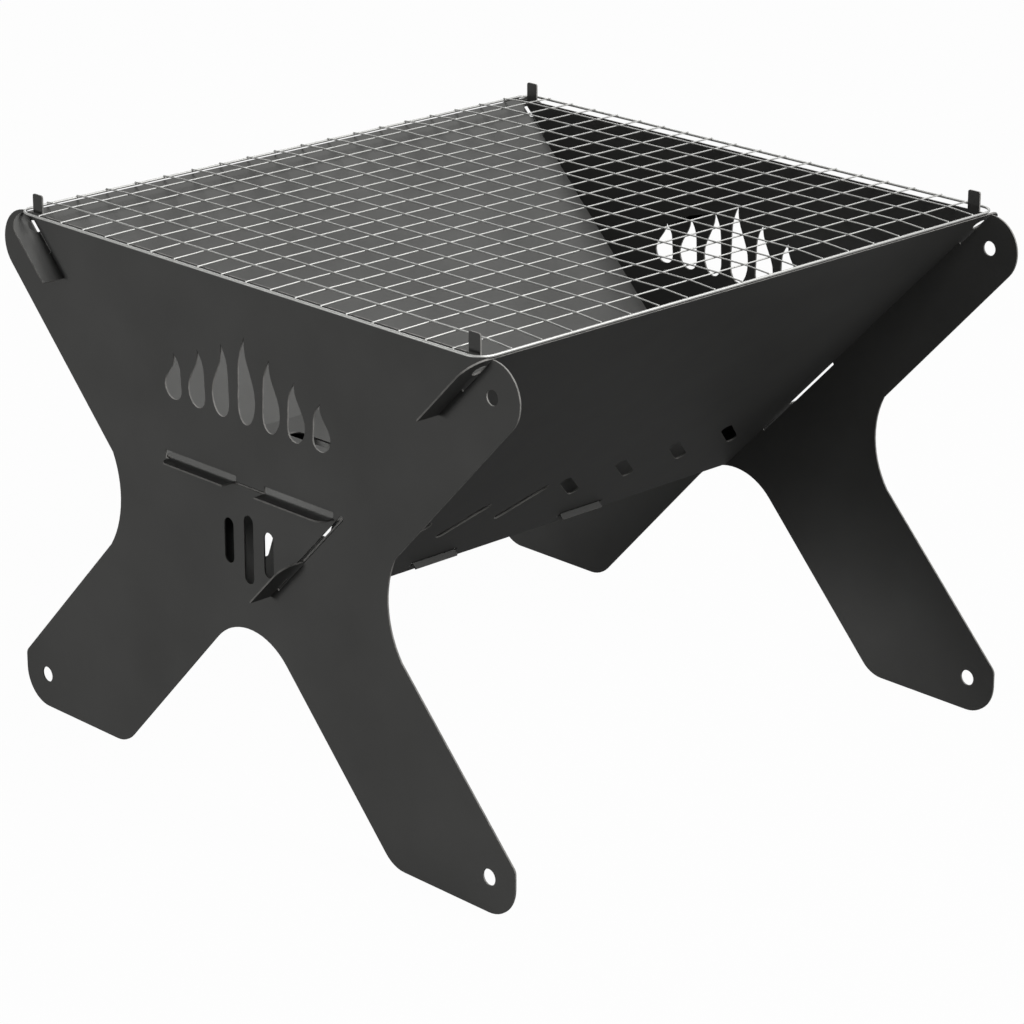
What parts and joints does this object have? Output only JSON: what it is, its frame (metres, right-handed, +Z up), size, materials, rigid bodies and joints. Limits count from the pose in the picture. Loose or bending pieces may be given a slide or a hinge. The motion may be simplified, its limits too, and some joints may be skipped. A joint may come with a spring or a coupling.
{
  "type": "portable fire pit",
  "caption": "Flat-pack sheet-steel fire pit: crossed-leg end plates, slotted side panels in a V, a fire bed tray and a lift-off wire grate.",
  "frame": {"origin": "on the ground, under the middle of the pit, level with the soles of the feet", "axes": "+Z up; +X across the end plates, towards the side whose panel has the extra lower hooks; +Y from the front end plate to the rear one"},
  "size_m": [0.427, 0.42, 0.3165],
  "materials": {
    "black_steel": "matte black heat-resistant powder coat on sheet steel",
    "bright_wire": "bright plated steel wire"
  },
  "bodies": {
    "pit": {"end_plate_front": "black_steel", "end_plate_rear": "black_steel", "side_panel_right": "black_steel", "side_panel_left": "black_steel", "fire_bed_tray": "black_steel"},
    "grate": {"grate_rim": "bright_wire", "grate_long_wire_01": "bright_wire", "grate_long_wire_02": "bright_wire", "grate_long_wire_03": "bright_wire", "grate_long_wire_04": "bright_wire", "grate_long_wire_05": "bright_wire", "grate_long_wire_06": "bright_wire", "grate_long_wire_07": "bright_wire", "grate_long_wire_08": "bright_wire", "grate_long_wire_09": "bright_wire", "grate_long_wire_10": "bright_wire", "grate_long_wire_11": "bright_wire", "grate_long_wire_12": "bright_wire", "grate_long_wire_13": "bright_wire", "grate_long_wire_14": "bright_wire", "grate_long_wire_15": "bright_wire", "grate_long_wire_16": "bright_wire", "grate_long_wire_17": "bright_wire", "grate_long_wire_18": "bright_wire", "grate_cross_wire_01": "bright_wire", "grate_cross_wire_02": "bright_wire", "grate_cross_wire_03": "bright_wire", "grate_cross_wire_04": "bright_wire", "grate_cross_wire_05": "bright_wire", "grate_cross_wire_06": "bright_wire", "grate_cross_wire_07": "bright_wire", "grate_cross_wire_08": "bright_wire", "grate_cross_wire_09": "bright_wire", "grate_cross_wire_10": "bright_wire", "grate_cross_wire_11": "bright_wire", "grate_cross_wire_12": "bright_wire", "grate_cross_wire_13": "bright_wire", "grate_cross_wire_14": "bright_wire", "grate_cross_wire_15": "bright_wire", "grate_cross_wire_16": "bright_wire", "grate_cross_wire_17": "bright_wire", "grate_cross_wire_18": "bright_wire"}
  },
  "joints": [
    {"name": "grate_lift", "type": "slide", "parent": "pit", "child": "grate", "axis": [0, 0, 1], "range_m": [0, 0.06]}
  ]
}
